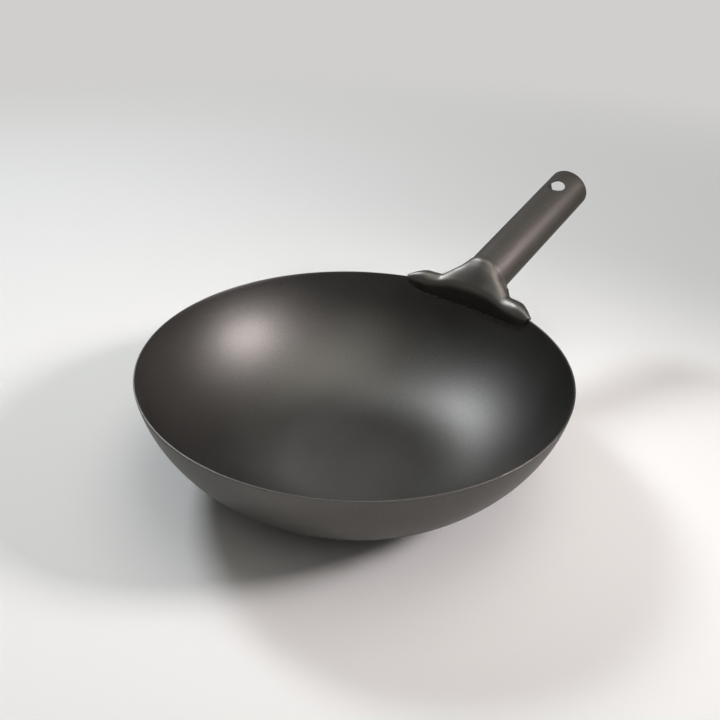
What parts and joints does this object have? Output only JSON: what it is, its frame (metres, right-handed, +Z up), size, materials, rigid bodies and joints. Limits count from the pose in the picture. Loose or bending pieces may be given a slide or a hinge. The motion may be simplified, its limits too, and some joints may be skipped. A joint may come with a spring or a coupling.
{
  "type": "titanium wok",
  "caption": "One-handed titanium wok: a thin pressed bowl with a flat base and an open round tube handle, welded to the rim by a flared saddle root that laps inside and outside the wall.",
  "frame": {"origin": "centre of the flat base's underside, on the bowl's axis", "axes": "+Z up along the bowl's axis; +X from the axis towards the handle; +Y completes a right-handed frame"},
  "size_m": [0.4232, 0.28, 0.1465],
  "materials": {
    "bowl_sheet": "titanium sheet, dark neutral grey, satin with a fine blasted grain",
    "handle_sheet": "titanium tube and pressings, dark warm grey, satin with a fine blasted grain",
    "weld_metal": "titanium weld bead, blasted over, duller and darker than the sheet"
  },
  "bodies": {
    "root": {"wok_bowl": "bowl_sheet", "handle_tube": "handle_sheet", "root_saddle": "handle_sheet", "root_shell": "handle_sheet", "neck_weld": "weld_metal", "seam_weld_left": "weld_metal", "seam_weld_right": "weld_metal", "under_weld": "weld_metal", "flap_weld_1": "weld_metal", "flap_weld_2": "weld_metal", "flap_weld_3": "weld_metal", "flap_weld_4": "weld_metal", "flap_weld_5": "weld_metal", "flap_weld_6": "weld_metal"}
  },
  "joints": []
}
